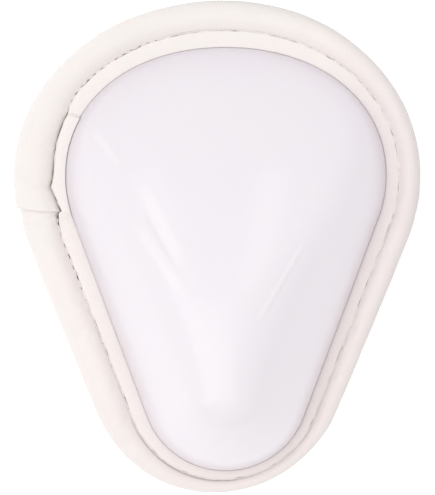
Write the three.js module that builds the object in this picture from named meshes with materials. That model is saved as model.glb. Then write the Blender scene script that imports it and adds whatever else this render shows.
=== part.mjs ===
// Abdominal guard: a hollow moulded cup whose flange is held in a padded, covered rim.
// Millimetres, +Z up. It lies on its rim with the dome up, the waist edge towards +Y, the tail towards -Y.
import * as THREE from "three";

// Outline of the whole guard, seen from the front
const GUARD_LENGTH = 165;
const GUARD_WIDTH = 135.4;
const GUARD_WIDEST = 107.5;
const GUARD_TAIL_RADIUS = 42.5;
const GUARD_FLANK_LEAN = 22.4;
const GUARD_SIDE_FULLNESS = 0.5;
const GUARD_TOP_FULLNESS = 0.6;
const GUARD_CROWN_SHIFT = 1.8;
const GUARD_TAIL_SHIFT = -1;

// Outline of the cup's foot, which lies a little to the right inside the rim
const CUP_LENGTH = 142;
const CUP_WIDTH = 107.4;
const CUP_WIDEST = 99;
const CUP_TAIL_RADIUS = 28;
const CUP_FLANK_LEAN = 20.5;
const CUP_SIDE_FULLNESS = 0.58;
const CUP_TOP_FULLNESS = 0.58;
const CUP_SHIFT = 3;
const TAIL_RIM = 7.6;

// Cup: its wall, the flat front panel that rises from the waist edge, and the walls that fall from it
const WALL = 2.4;
const PANEL_RISE = 41.5;
const PANEL_FOOT = 3;
const PANEL_REACH = 112;
const PANEL_CURVE = 1.55;
const PANEL_CROWN_RADIUS = 210;
const WALL_RISE = 33.5;
const FOOT_RADIUS = 1.7;
const CREASE_SOFTNESS = 4.5;

// Rim: the flange, the padding round it and the edges of its covering
const FLANGE = 2.4;
const PAD_UNDER_FLANGE = 4;
const FLANGE_TO_EDGE = 4.4;
const ROLL_ROUNDNESS = 2.3;
const LIP_THICKNESS = 1.5;
const LIP_CORNER = 0.65;
const TONGUE_THICKNESS = 1.2;
const TONGUE_SETBACK = 0.1;
const TONGUE_ROUNDING = 1.6;
const TONGUE_TIP = 0.15;
const BACK_LIP_SETBACK = 0.4;

// Joint on the left side, where the roll's upper end laps over its lower end
const JOINT_UP = 95.5;
const JOINT_SLANT = 8.5;
const JOINT_STEP = 1.2;
const JOINT_FADE = 26;
const JOINT_DROP = 9;

// The whole guard is bowed along its length, and its soft rim is pressed flat where it rests
const BOW_RISE = 6;
const BOW_SPAN = 156;
const REST_PRESS = 1;

// Clearance between pieces
const GAP = 0.3;

// Mesh steps
const RING_STEPS = 83;
const CUP_STEPS = 92;
const CUP_ROWS = 15;
const CUP_INNER_ROWS = 9;
const ROW_CROWDING = 1.5;
const ROLL_STEPS = 17;
const TIP_STEPS = 4;
const DROP_STEPS = 5;
const TURN_HALVINGS = 40;

// How the half outline is shared out, from the tail tip to the middle of the waist edge, and the steep foot of
// the cup's wall at each stretch's end as a share of its full height. It is even round the tail.
const FOOT_RISE = 12.5;
const STRETCHES = [
  { name: "tail", until: 0.21, foot: 1.0 },
  { name: "flank", until: 0.465, foot: 0.72 },
  { name: "shoulder", until: 0.585, foot: 0.48 },
  { name: "crown", until: 1, foot: 0.32 },
];

// Round the ring from the tail tip, through the right side, the waist and the left side: the height of the
// roll as a share of its full height, and the lip as a share of the rim's width
const ROLL_HEIGHT = 12;
const ROUND = [
  { at: 0.0, roll: 0.76, lip: 0.36 },
  { at: 0.12, roll: 0.86, lip: 0.34 },
  { at: 0.24, roll: 0.9, lip: 0.36 },
  { at: 0.36, roll: 0.92, lip: 0.34 },
  { at: 0.5, roll: 0.94, lip: 0.33 },
  { at: 0.64, roll: 0.98, lip: 0.32 },
  { at: 0.76, roll: 1.0, lip: 0.31 },
  { at: 0.88, roll: 0.92, lip: 0.3 },
];

// Along the ring from the joint as a share of the lap's length, with the way up to the tongue's tip below zero: the
// lip's width as a share of its width under the tongue, and how far it takes the place of the usual one
const LAP_LENGTH = 48;
const LAP_LIP = 3.5;
const LAP = [
  { along: -1.15, lip: 1.1, hold: 0 },
  { along: -1, lip: 1.1, hold: 1 },
  { along: -0.8, lip: 1.05, hold: 1 },
  { along: -0.55, lip: 0.95, hold: 1 },
  { along: -0.42, lip: 1.02, hold: 1 },
  { along: -0.315, lip: 1.3, hold: 1 },
  { along: -0.25, lip: 1.12, hold: 1 },
  { along: -0.15, lip: 0.92, hold: 1 },
  { along: 0, lip: 0.75, hold: 1 },
  { along: 0, lip: 1.1, hold: 1 },
  { along: 0.2, lip: 1.2, hold: 0 },
];

const FLANGE_TOP = PAD_UNDER_FLANGE + FLANGE;
const LIP_TOP = FLANGE_TOP + GAP + LIP_THICKNESS;

const guard = makeOutline({
  length: GUARD_LENGTH,
  width: GUARD_WIDTH,
  widest: GUARD_WIDEST,
  tailRadius: GUARD_TAIL_RADIUS,
  flankLean: THREE.MathUtils.degToRad(GUARD_FLANK_LEAN),
  sideFullness: GUARD_SIDE_FULLNESS,
  topFullness: GUARD_TOP_FULLNESS,
  crownShift: GUARD_CROWN_SHIFT,
  tailShift: GUARD_TAIL_SHIFT,
  shift: 0,
  tail: -GUARD_LENGTH / 2,
});
const cup = makeOutline({
  length: CUP_LENGTH,
  width: CUP_WIDTH,
  widest: CUP_WIDEST,
  tailRadius: CUP_TAIL_RADIUS,
  flankLean: THREE.MathUtils.degToRad(CUP_FLANK_LEAN),
  sideFullness: CUP_SIDE_FULLNESS,
  topFullness: CUP_TOP_FULLNESS,
  crownShift: 0,
  tailShift: 0,
  shift: CUP_SHIFT,
  tail: TAIL_RIM - GUARD_LENGTH / 2,
});
const RING_LENGTH = 2 * Object.values(guard.curves).reduce((sum, curve) => sum + curve.getLength(), 0);
const JOINT_TURN = leftTurnAt(JOINT_UP);
const LAP_TURN = JOINT_TURN + JOINT_SLANT / RING_LENGTH;
const TONGUE_TURN = LAP_TURN - LAP_LENGTH / RING_LENGTH;

// An outline's right half: a tail arc, a straight flank, a shoulder and the quarter of the crown
function makeOutline(size) {
  const half = size.width / 2;
  const lean = size.flankLean;
  const tailCentre = size.tail + size.tailRadius;
  const widestY = size.tail + size.widest;
  const top = size.tail + size.length;
  const tangent = new THREE.Vector2(
    size.tailRadius * Math.cos(lean),
    tailCentre - size.tailRadius * Math.sin(lean),
  );
  const corner = new THREE.Vector2(half, tangent.y + (half - tangent.x) / Math.tan(lean));
  const shoulder = widestY - corner.y;
  const flankEnd = new THREE.Vector2(
    corner.x - shoulder * Math.sin(lean),
    corner.y - shoulder * Math.cos(lean),
  );
  const widest = new THREE.Vector2(half, widestY);
  const curves = {
    tail: new THREE.EllipseCurve(0, tailCentre, size.tailRadius, size.tailRadius, -Math.PI / 2, -lean),
    flank: new THREE.LineCurve(tangent, flankEnd),
    shoulder: new THREE.QuadraticBezierCurve(flankEnd, corner, widest),
    crown: new THREE.CubicBezierCurve(
      widest,
      new THREE.Vector2(half, widestY + size.sideFullness * (top - widestY)),
      new THREE.Vector2(size.topFullness * half, top),
      new THREE.Vector2(0, top),
    ),
  };
  return { ...size, curves, top, tailCentre, widestY, tangentY: tangent.y };
}

// The stretch of the half outline that a turn round the whole ring falls on, counted from the tail tip through
// the right side
function stretchAt(turn) {
  const share = turn - Math.floor(turn);
  const half = share < 0.5 ? 2 * share : 2 * (1 - share);
  const index = STRETCHES.findIndex((stretch) => half <= stretch.until);
  const stretch = STRETCHES[index];
  const before = index ? STRETCHES[index - 1] : { until: 0, foot: stretch.foot };
  const along = (half - before.until) / (stretch.until - before.until);
  const foot = THREE.MathUtils.lerp(before.foot, stretch.foot, along);
  return { name: stretch.name, along, left: share >= 0.5, foot };
}

function outlinePoint(outline, turn) {
  const { name, along, left } = stretchAt(turn);
  const point = outline.curves[name].getPointAt(along);
  const upCrown = THREE.MathUtils.clamp((point.y - outline.widestY) / (outline.top - outline.widestY), 0, 1);
  const downTail = THREE.MathUtils.clamp((outline.tailCentre - point.y) / outline.tailRadius, 0, 1);
  const shift = outline.shift + outline.crownShift * upCrown ** 2 + outline.tailShift * downTail ** 2;
  return new THREE.Vector2(shift + (left ? -point.x : point.x), point.y);
}

// A column of the table, smoothly between its rows
function roundValue(column, turn) {
  const share = turn - Math.floor(turn);
  const count = ROUND.length;
  const next = ROUND.findIndex((row) => row.at > share);
  const after = next < 0 ? 0 : next;
  const before = (after + count - 1) % count;
  const span = (ROUND[after].at - ROUND[before].at + 1) % 1;
  const along = ((share - ROUND[before].at + 1) % 1) / span;
  const blend = along * along * (3 - 2 * along);
  return THREE.MathUtils.lerp(ROUND[before][column], ROUND[after][column], blend);
}

// The lip's width at a turn, out of the rim's width: its usual share, and its own course beside the joint
function lipWidth(turn, width) {
  const usual = width * roundValue("lip", turn);
  const round = turn - LAP_TURN - Math.round(turn - LAP_TURN);
  const along = (round * RING_LENGTH) / LAP_LENGTH;
  const next = LAP.findIndex((row) => row.along > along);
  if (next < 1) return usual;
  const before = LAP[next - 1];
  const after = LAP[next];
  const blend = (along - before.along) / (after.along - before.along);
  const lapped = LAP_LIP * THREE.MathUtils.lerp(before.lip, after.lip, blend);
  return THREE.MathUtils.lerp(usual, lapped, THREE.MathUtils.lerp(before.hold, after.hold, blend));
}

// Everything that a section of the ring needs at one turn
function station(turn) {
  const edge = outlinePoint(cup, turn);
  const outer = outlinePoint(guard, turn);
  const out = outer.clone().sub(edge);
  const width = out.length();
  out.divideScalar(width);
  const spine = new THREE.Vector2(cup.shift, spineHeight(edge.y));
  return {
    turn,
    edge,
    out,
    width,
    spine,
    lip: lipWidth(turn, width),
    roll: ROLL_HEIGHT * roundValue("roll", turn),
    foot: FOOT_RISE * stretchAt(turn).foot,
  };
}

// The ribs of the cup run to its middle line, between the centre of the tail and the widest place
function spineHeight(edgeY) {
  const along = (edgeY - cup.tangentY) / (cup.widestY - cup.tangentY);
  return THREE.MathUtils.lerp(cup.tailCentre, cup.widestY, THREE.MathUtils.clamp(along, 0, 1));
}

// The bow lifts the middle of the guard and leaves its tail and waist edge on the surface
function bow(y) {
  const along = y / (BOW_SPAN / 2);
  return BOW_RISE * Math.max(0, 1 - along * along);
}

// The lesser of two values, rounded where they meet
function softMin(a, b, softness) {
  const near = Math.max(softness - Math.abs(a - b), 0) / softness;
  return Math.min(a, b) - (near * near * softness) / 4;
}

// Height of the cup's outside above the flange: the lesser of the wall and the front panel, at a distance from
// the foot along a rib. The inside is the same form, set in by the wall's thickness.
function domeHeight(point, fromFoot, rib, foot, inset) {
  const share = fromFoot / rib;
  const slope = (2 * WALL_RISE * (1 - share)) / rib;
  const wallDrop = inset * (Math.hypot(1, slope) - slope * (1 - share));
  const rising = 1 - Math.exp(-fromFoot / FOOT_RADIUS);
  const wall = (foot - wallDrop) * rising + WALL_RISE * share * (2 - share);
  const panelDrop = inset * Math.hypot(1, (PANEL_RISE * PANEL_CURVE) / PANEL_REACH);
  return softMin(wall, panelHeight(point) - panelDrop, CREASE_SOFTNESS);
}

// The front panel rises from the waist edge towards the tail, and is a little rounded from side to side
function panelHeight(point) {
  const along = THREE.MathUtils.clamp((cup.top - point.y) / PANEL_REACH, 0, 1);
  const across = point.x - cup.shift;
  const rise = PANEL_RISE * (1 - (1 - along) ** PANEL_CURVE);
  return PANEL_FOOT + rise - across ** 2 / (2 * PANEL_CROWN_RADIUS);
}

// The foot of the cup's outside (inset 0) or inside (inset WALL), in plan
function cupFoot(at, inset) {
  const inwards = at.spine.clone().sub(at.edge).normalize();
  return at.edge.clone().addScaledVector(inwards, inset);
}

// A point of the cup's outside (inset 0) or inside (inset WALL), from the foot to the middle line
function cupPoint(at, share, inset) {
  const start = cupFoot(at, inset);
  const length = start.distanceTo(at.spine);
  const point = start.lerp(at.spine, share);
  const height = domeHeight(point, share * length, length, at.foot, inset);
  const rise = Math.max(height, inset ? -FLANGE : 0);
  return new THREE.Vector3(point.x, point.y, FLANGE_TOP + rise + bow(point.y));
}

// A point of the rim, at a distance out from the cup's foot and a height over the rim's own base
function rimPoint(at, out, height) {
  const point = at.edge.clone().addScaledVector(at.out, out);
  return new THREE.Vector3(point.x, point.y, Math.max(height + bow(point.y), 0));
}

// Triangles between rows of points, each row a section that runs counterclockwise seen along the ring. The
// rows join into a ring, and each section into a loop, where asked.
function sheetTriangles(rows, ringed, looped) {
  const triangles = [];
  const rowCount = ringed ? rows.length : rows.length - 1;
  for (let i = 0; i < rowCount; i += 1) {
    const here = rows[i];
    const next = rows[(i + 1) % rows.length];
    const columnCount = looped ? here.length : here.length - 1;
    for (let j = 0; j < columnCount; j += 1) {
      const k = (j + 1) % here.length;
      triangles.push([here[j], next[j], here[k]]);
      triangles.push([here[k], next[j], next[k]]);
    }
  }
  return triangles;
}

function capTriangles(row, section, atEnd) {
  return THREE.ShapeUtils.triangulateShape(section, []).map(([a, b, c]) =>
    atEnd ? [row[a], row[c], row[b]] : [row[a], row[b], row[c]],
  );
}

function closedGeometry(triangles) {
  const kept = triangles.filter(([a, b, c]) => !a.equals(b) && !b.equals(c) && !c.equals(a));
  const positions = kept.flatMap((corners) => corners.flatMap((corner) => corner.toArray()));
  const geometry = new THREE.BufferGeometry();
  geometry.setAttribute("position", new THREE.Float32BufferAttribute(positions, 3));
  geometry.computeVertexNormals();
  return geometry;
}

// A strip along the ring with a flat cap at each end, or joined to itself. A shear moves each corner along the
// ring by its distance out.
function ringStrip(turns, sectionAt, ringed, shear = () => 0) {
  const sections = turns.map((turn) => sectionAt(station(turn), turn));
  const rows = turns.map((turn, i) =>
    sections[i].map((corner, j) => {
      const at = station(turn + shear(turn, corner.x, station(turn).width));
      const own = sectionAt(at, turn)[j];
      return rimPoint(at, own.x, own.y);
    }),
  );
  const triangles = sheetTriangles(rows, ringed, true);
  if (!ringed) {
    triangles.push(...capTriangles(rows[0], sections[0], false));
    triangles.push(...capTriangles(rows.at(-1), sections.at(-1), true));
  }
  return closedGeometry(triangles);
}

function evenSteps(from, to, steps) {
  return Array.from({ length: steps + 1 }, (_, i) => from + ((to - from) * i) / steps);
}

// Beside the joint the roll's sections slant: the nearer to the cup, the further down
function jointShear(turn, out, width) {
  const fromJoint = Math.abs(turn - JOINT_TURN - Math.round(turn - JOINT_TURN)) * RING_LENGTH;
  const near = Math.max(0, 1 - fromJoint / JOINT_FADE);
  const inwards = Math.min(1, (width - out) / (width - LAP_LIP));
  return (JOINT_SLANT * near * inwards) / RING_LENGTH;
}

// Turns once round the ring from a start beside the joint, with the rows of the lap at the end. A slanting
// strip is squeezed there.
function ringTurns(start, end, slant) {
  const squeeze = 1 + slant / JOINT_FADE;
  const above = LAP.filter((row) => row.along < 0).map((row) => -row.along * LAP_LENGTH);
  const ups = above.map((distance) => slant + Math.max(distance / squeeze, distance - slant));
  const rows = ups.map((up) => LAP_TURN + 1 - up / RING_LENGTH);
  return [...evenSteps(start, rows[0], RING_STEPS), ...rows.slice(1), end];
}

// The turn at which the left side of the guard's outline is a given height above the tail tip
function leftTurnAt(up) {
  const height = up - GUARD_LENGTH / 2;
  let low = 0;
  let high = 1;
  for (let i = 0; i < TURN_HALVINGS; i += 1) {
    const middle = (low + high) / 2;
    if (outlinePoint(guard, middle / 2).y < height) low = middle;
    else high = middle;
  }
  return 1 - low / 2;
}

// The cup: its outside from the flange's edge to the middle line, and its inside back to that edge
function cupShell() {
  const outside = [];
  const inside = [];
  for (let i = 0; i < CUP_STEPS; i += 1) {
    const at = station(i / CUP_STEPS);
    const flangeEdge = at.width - FLANGE_TO_EDGE;
    const edge = rimPoint(at, flangeEdge, PAD_UNDER_FLANGE);
    outside.push([edge, rimPoint(at, flangeEdge, FLANGE_TOP), ...cupRib(at, CUP_ROWS, 0)]);
    const innerFoot = cupFoot(at, WALL);
    const under = new THREE.Vector3(innerFoot.x, innerFoot.y, PAD_UNDER_FLANGE + bow(innerFoot.y));
    inside.push([...cupRib(at, CUP_INNER_ROWS, WALL).reverse(), under, edge]);
  }
  return closedGeometry([...sheetTriangles(outside, true, false), ...sheetTriangles(inside, true, false)]);
}

function cupRib(at, rows, inset) {
  return evenSteps(0, 1, rows).map((share) => cupPoint(at, share ** ROW_CROWDING, inset));
}

// How far the roll swells or shrinks beside its two ends, where the upper end laps over the lower
function jointSwell(turn) {
  const fade = JOINT_FADE / RING_LENGTH;
  const below = Math.max(0, 1 - (turn - JOINT_TURN) / fade);
  const above = Math.max(0, 1 - (JOINT_TURN + 1 - turn) / fade);
  return (JOINT_STEP / 2) * (above * above - below * below);
}

// The roll's section: an oval with a slot for the flange's edge
function rollSection(at, turn) {
  const swell = jointSwell(turn);
  const inner = at.lip;
  const outer = at.width + swell;
  const top = at.roll + swell;
  const middle = new THREE.Vector2((inner + outer) / 2, (top - REST_PRESS) / 2);
  const half = new THREE.Vector2((outer - inner) / 2, (top + REST_PRESS) / 2);
  const slotTop = FLANGE_TOP + GAP;
  const slotUnder = PAD_UNDER_FLANGE - GAP;
  const slotEnd = at.width - FLANGE_TO_EDGE + GAP;
  const from = -Math.PI + ovalAngle((middle.y - slotUnder) / half.y);
  const to = Math.PI - ovalAngle((slotTop - middle.y) / half.y);
  const section = evenSteps(from, to, ROLL_STEPS).map((angle) => {
    const across = Math.sign(Math.cos(angle)) * Math.abs(Math.cos(angle)) ** (2 / ROLL_ROUNDNESS);
    const up = Math.sign(Math.sin(angle)) * Math.abs(Math.sin(angle)) ** (2 / ROLL_ROUNDNESS);
    return new THREE.Vector2(middle.x + half.x * across, middle.y + half.y * up);
  });
  section.push(new THREE.Vector2(slotEnd, slotTop), new THREE.Vector2(slotEnd, slotUnder));
  return section;
}

// The angle at which the oval is a share of its half height from its middle
function ovalAngle(share) {
  return Math.sign(share) * Math.asin(Math.min(Math.abs(share), 1) ** (ROLL_ROUNDNESS / 2));
}

// A flat strip with rounded long edges, from one distance out to another
function lipSection(from, to, under, thickness) {
  const round = (LIP_CORNER * Math.min(thickness, to - from)) / 2;
  return [
    new THREE.Vector2(from + round, under),
    new THREE.Vector2(to - round, under),
    new THREE.Vector2(to, under + round),
    new THREE.Vector2(to, under + thickness - round),
    new THREE.Vector2(to - round, under + thickness),
    new THREE.Vector2(from + round, under + thickness),
    new THREE.Vector2(from, under + thickness - round),
    new THREE.Vector2(from, under + round),
  ];
}

// The front lip starts at the tongue's tip, lies on its own other end as far as the joint, drops to the flange
// below it and goes once round the ring
function frontLip() {
  const dropEnd = LAP_TURN + JOINT_DROP / RING_LENGTH;
  const roundedEnd = TONGUE_TURN + TONGUE_ROUNDING / RING_LENGTH;
  const tongue = LAP.map((row) => LAP_TURN + (row.along * LAP_LENGTH) / RING_LENGTH).filter(
    (turn) => turn > roundedEnd && turn < LAP_TURN,
  );
  const turns = [
    ...evenSteps(TONGUE_TURN, roundedEnd, TIP_STEPS),
    ...tongue,
    LAP_TURN - GAP / RING_LENGTH,
    ...evenSteps(LAP_TURN + GAP / RING_LENGTH, dropEnd, DROP_STEPS),
    ...ringTurns(dropEnd, LAP_TURN + 1 - GAP / RING_LENGTH, 0).slice(1),
  ];
  return ringStrip(turns, (at, turn) => {
    const dropped = THREE.MathUtils.smoothstep(turn, LAP_TURN, dropEnd);
    const fromTip = (turn - TONGUE_TURN) * RING_LENGTH;
    const tip = Math.min(1, (fromTip + TONGUE_TIP) / TONGUE_ROUNDING);
    const rounded = Math.sqrt(1 - (1 - tip) * (1 - tip));
    const near = THREE.MathUtils.lerp(TONGUE_SETBACK, GAP, dropped);
    const far = at.lip - GAP;
    const middle = (near + far) / 2;
    const half = ((far - near) / 2) * rounded;
    const under = THREE.MathUtils.lerp(LIP_TOP + GAP, FLANGE_TOP + GAP, dropped);
    const thickness = THREE.MathUtils.lerp(TONGUE_THICKNESS, LIP_THICKNESS, dropped);
    return lipSection(middle - half, middle + half, under, thickness);
  }, false);
}

function backLip() {
  const turns = ringTurns(LAP_TURN + GAP / RING_LENGTH, LAP_TURN + 1 - GAP / RING_LENGTH, 0);
  const under = PAD_UNDER_FLANGE - GAP - LIP_THICKNESS;
  const near = BACK_LIP_SETBACK - WALL;
  return ringStrip(turns, (at) => lipSection(near, at.lip - GAP, under, LIP_THICKNESS), true);
}

function rimRoll() {
  const half = GAP / 2 / RING_LENGTH;
  const turns = ringTurns(JOINT_TURN + half, JOINT_TURN + 1 - half, JOINT_SLANT);
  return ringStrip(turns, rollSection, false, jointShear);
}

function piece(name, geometry, material) {
  const mesh = new THREE.Mesh(geometry, new THREE.MeshStandardMaterial(material));
  mesh.name = name;
  return mesh;
}

const MILKY_PLASTIC = { color: 0xf1eef4, roughness: 0.16, metalness: 0 };
const COVERING = { color: 0xf4ede8, roughness: 0.6, metalness: 0 };

const object = new THREE.Group();
object.add(piece("cup_shell", cupShell(), MILKY_PLASTIC));
object.add(piece("rim_roll", rimRoll(), COVERING));
object.add(piece("front_lip", frontLip(), COVERING));
object.add(piece("back_lip", backLip(), COVERING));

export default object;
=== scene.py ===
"""An abdominal guard: a milky moulded cup in a padded, covered rim, lying on its rim on a pale floor."""

import math

import bmesh
import bpy
import numpy as np
from bpy.props import FloatProperty, FloatVectorProperty, IntProperty, PointerProperty
from bpy.types import Operator, Panel, PropertyGroup
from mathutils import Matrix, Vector


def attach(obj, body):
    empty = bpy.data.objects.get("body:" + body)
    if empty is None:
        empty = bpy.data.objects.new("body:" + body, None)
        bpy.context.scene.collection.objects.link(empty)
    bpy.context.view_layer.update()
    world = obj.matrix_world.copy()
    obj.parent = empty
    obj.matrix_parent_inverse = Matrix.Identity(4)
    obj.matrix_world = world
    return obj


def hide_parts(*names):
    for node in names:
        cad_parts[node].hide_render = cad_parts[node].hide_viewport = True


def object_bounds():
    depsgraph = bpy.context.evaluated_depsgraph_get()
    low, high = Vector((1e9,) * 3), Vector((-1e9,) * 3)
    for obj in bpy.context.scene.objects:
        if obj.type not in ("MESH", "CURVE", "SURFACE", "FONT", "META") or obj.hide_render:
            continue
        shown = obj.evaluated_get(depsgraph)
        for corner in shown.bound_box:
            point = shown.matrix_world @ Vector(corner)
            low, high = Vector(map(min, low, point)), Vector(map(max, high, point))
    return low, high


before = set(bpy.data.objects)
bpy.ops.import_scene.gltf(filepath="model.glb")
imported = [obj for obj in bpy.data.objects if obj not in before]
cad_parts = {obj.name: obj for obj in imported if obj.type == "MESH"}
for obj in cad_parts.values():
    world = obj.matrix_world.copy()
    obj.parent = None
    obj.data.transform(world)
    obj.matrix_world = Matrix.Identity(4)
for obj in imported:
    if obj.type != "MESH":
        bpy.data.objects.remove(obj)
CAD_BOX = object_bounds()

bl_info = {
    "name": "Abdominal Guard",
    "version": (1, 0, 0),
    "blender": (4, 5, 0),
    "location": "View3D > Sidebar > Guard",
    "description": "Builds an abdominal guard with a moulded cup and a padded rim",
    "category": "Add Mesh",
}

MM = 0.001
CAD_LENGTH = CAD_BOX[1][1] - CAD_BOX[0][1]
CAD_WIDTH = CAD_BOX[1][0] - CAD_BOX[0][0]


def table(columns, *rows):
    """Rows with named columns."""
    return [dict(zip(columns.split(), row)) for row in rows]


# Stretches of the half outline from the tail tip to the middle of the waist edge: where each ends, and the
# steep foot of the cup's wall there
STRETCHES = table(
    "name until foot",
    ("tail", 0.21, 1.0),
    ("flank", 0.465, 0.72),
    ("shoulder", 0.585, 0.48),
    ("crown", 1.0, 0.32),
)

# Round the ring from the tail tip through the right side: the roll's share of its full height, the lip's share
# of the rim's width, and how strong the painted shade in the seam is
ROUND = table(
    "at roll lip seam",
    (0.0, 0.76, 0.36, 0.1),
    (0.12, 0.86, 0.34, 0.15),
    (0.24, 0.9, 0.36, 0.6),
    (0.36, 0.92, 0.34, 0.9),
    (0.5, 0.94, 0.33, 0.6),
    (0.64, 0.98, 0.32, 0.6),
    (0.76, 1.0, 0.31, 1.0),
    (0.88, 0.92, 0.3, 0.6),
)

# Along the ring from the joint in lap lengths, below zero up to the tongue's tip: the lip's width as a share
# of its width under the tongue, and how far that takes the usual width's place
LAP = table(
    "along lip hold",
    (-1.15, 1.1, 0.0),
    (-1.0, 1.1, 1.0),
    (-0.8, 1.05, 1.0),
    (-0.55, 0.95, 1.0),
    (-0.42, 1.02, 1.0),
    (-0.315, 1.3, 1.0),
    (-0.25, 1.12, 1.0),
    (-0.15, 0.92, 1.0),
    (0.0, 0.75, 1.0),
    (0.0, 1.1, 1.0),
    (0.2, 1.2, 0.0),
)

# Creases beside the panel's edges, in millimetres in plan, with bump relief along them: light ones carry a
# painted highlight, the others a painted shade line
CREASES = table(
    "start end width strength light",
    ((-40.5, 38.6), (-31.0, 25.0), 1.6, 0.22, True),
    ((-24.5, 20.5), (-10.9, -6.5), 2.6, 0.3, True),
    ((-26.4, 8.4), (-11.3, -14.2), 2.2, 0.26, True),
    ((-24.2, 12.2), (-13.0, -7.0), 0.7, 0.16, False),
    ((28.4, 2.6), (12.4, -24.2), 0.6, 0.34, True),
    ((29.6, 1.8), (13.6, -25.0), 0.5, 0.16, False),
)

# Points on each stretch of an outline, and the searches along it and up the cup's wall
OUTLINE_POINTS = 241
TURN_HALVINGS = 40
WALL_HALVINGS = 20
WALL_REACH = 4.0 * MM

# How closely the cup's rows stand at its foot, how much painted shade darkens it there, and how near points
# are joined
FOOT_BUNCHING = 1.4
FOOT_SHADE = 0.6
WELD = 0.001 * MM

# Waves round the ring as height, count and start, and the roll's share of them sideways
ROLL_WAVES = [(0.14 * MM, 7, 0.1), (0.1 * MM, 13, 0.7), (0.06 * MM, 29, 0.3), (0.04 * MM, 47, 0.5)]
LIP_WAVES = [(0.07 * MM, 23, 0.4), (0.07 * MM, 61, 0.8), (0.05 * MM, 97, 0.1)]
LIP_SWELLS = [(0.05 * MM, 37, 0.1), (0.04 * MM, 71, 0.5)]
WAVES_OUT = 0.4

# How far the roll's lower end runs on under the upper, and the share of the step that rounds its end
OVERLAP = 3.0 * MM
END_ROUNDING = 0.2

# The cloth that fills the roll: how many times larger it is simulated, and the edges that hold it
PUFF_SCALE = 20.0
CLOTH = {
    "quality": 4,
    "mass": 0.3,
    "tension_stiffness": 30.0,
    "compression_stiffness": 30.0,
    "shear_stiffness": 10.0,
    "bending_stiffness": 1.0,
    "use_pressure": True,
    "uniform_pressure_force": 4.0,
}
HELD_SIDES = 2
HELD_START = 3
HELD_END = 5

# Painted shade in the roll's seam and at its joint
SEAM_SPREAD = 0.03
JOINT_SHADE = 0.4
JOINT_SHADE_SPREAD = 1.2 * MM

# Painted shade on the roll's outer flank: its place and spread round the section, and how it grows to the
# right
FLANK_PLACE = 0.52
FLANK_SPREAD = 0.12
FLANK_FROM = -45.0 * MM
FLANK_FADE = 60.0 * MM

# From here to the right the covering carries a duller painted shade
RIGHT_SHADE_FROM = 36.0 * MM
RIGHT_SHADE_FADE = 30.0 * MM

# The front lip: how far it lies in past the cup's foot and back from the roll, how much sharper its edge at
# the cup is, its hem, and the painted shade along its edges as angle, spread and depth
LIP_TUCK = 0.1 * MM
LIP_SETBACK = 0.03 * MM
CUP_EDGE_SHARPNESS = 4
HEM_HEIGHT = 0.35 * MM
HEM_PLACE = -0.62
HEM_WIDTH = 0.3
LIP_EDGE_SHADE = [(0.0, 0.5, 0.5), (math.pi, 0.35, 0.2)]
TIP_STEPS = 10
TIP_START = 0.02
TONGUE_STEPS = 150

# The back lip, and how much painted shade darkens it
BACK_REACH = 0.4 * MM
BACK_LIP_SHADE = 0.1

# Seams: the way that the thread sinks, its depth and its place beside the seam
SEAMS = table(
    "name inwards depth beside",
    ("front_stitches", -1, 0.12 * MM, 0.22 * MM),
    ("back_stitches", 1, 0.9 * MM, -0.02 * MM),
)

# One stitch from end to end: places in half lengths, the thread's sinking, and its taper and depth where the
# stitches stand apart or lie end to end
STITCH_PLACES = np.array([-1.0, -0.8, -0.4, 0.0, 0.4, 0.8, 1.0])
STITCH_SINK = np.array([1.0, 0.6, 0.15, 0.0, 0.15, 0.6, 1.0])
APART = {"taper": np.array([0.35, 0.85, 1.0, 1.0, 1.0, 0.85, 0.35]), "sink": 0.25 * MM}
END_TO_END = {"taper": np.array([0.93, 0.97, 1.0, 1.0, 1.0, 0.97, 0.93]), "sink": 0.02 * MM}
END_TO_END_SHARE = 0.99
STITCH_SIDES = 8

# Along the ring from the tongue's tip, the stretch in which the stitches stand apart
STITCHES_FROM = -45.0 * MM
STITCHES_TO = 72.0 * MM

# Size, detail and roughness of the noises in the finishes, and the depths of their relief
NOISE = {
    "cloud": (30.0 * MM, 2.0, 0.5),
    "peel": (3.5 * MM, 1.0, 0.5),
    "warp": (4.0 * MM, 2.0, 0.5),
    "fine": (0.6 * MM, 3.0, 0.6),
    "blotch": (18.0 * MM, 3.0, 0.5),
    "crevice_shade": (11.0 * MM, 2.0, 0.5),
    "twist": (0.3 * MM, 1.0, 0.5),
    "fibre": (2.0 * MM, 2.0, 0.5),
}
CUP_RELIEF = 0.02 * MM
COVERING_RELIEF = 0.06 * MM
THREAD_RELIEF = 0.05 * MM
CREASE_RELIEF = 4
STROKE_FADE = 6
WARM_TINT = (1.02, 1.02, 0.995)
WHITE = (1.0, 1.0, 1.0, 1.0)

# The covering's pinker painted shade to the right and at the tail, and how far the painted seam shade, grain,
# blotches and the painted flank shade tint it
PINK_SHADE_START = 0.35
PINK_SHADE_RISE = 5.0
PINK_SHADE_MOTTLE = 0.5
SEAM_SHADE_TINT = 0.7
GRAIN_TINT = 0.05
BLOTCH_TINT = 0.08
FLANK_SHADE_TINT = 0.75

# Soft lights in metres and watts
LIGHTS = table(
    "name place aim size power tint",
    ("key_softbox", (-0.4, -0.1, 1.38), (0.0, 0.0, 0.02), (1.3, 1.3), 7.5, (1.0, 1.0, 0.985)),
    ("left_strip", (-0.25, 0.84, 1.0), (0.0, 0.0, 0.03), (0.12, 0.65), 0.5, (1.0, 1.0, 1.0)),
    ("right_strip", (0.16, 0.84, 1.0), (0.0, 0.0, 0.03), (0.12, 0.65), 0.5, (1.0, 1.0, 1.0)),
)

# Half the floor's side, and how far it lies below the guard
FLOOR_HALF = 3.0
FLOOR_DROP = 0.05 * MM

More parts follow.
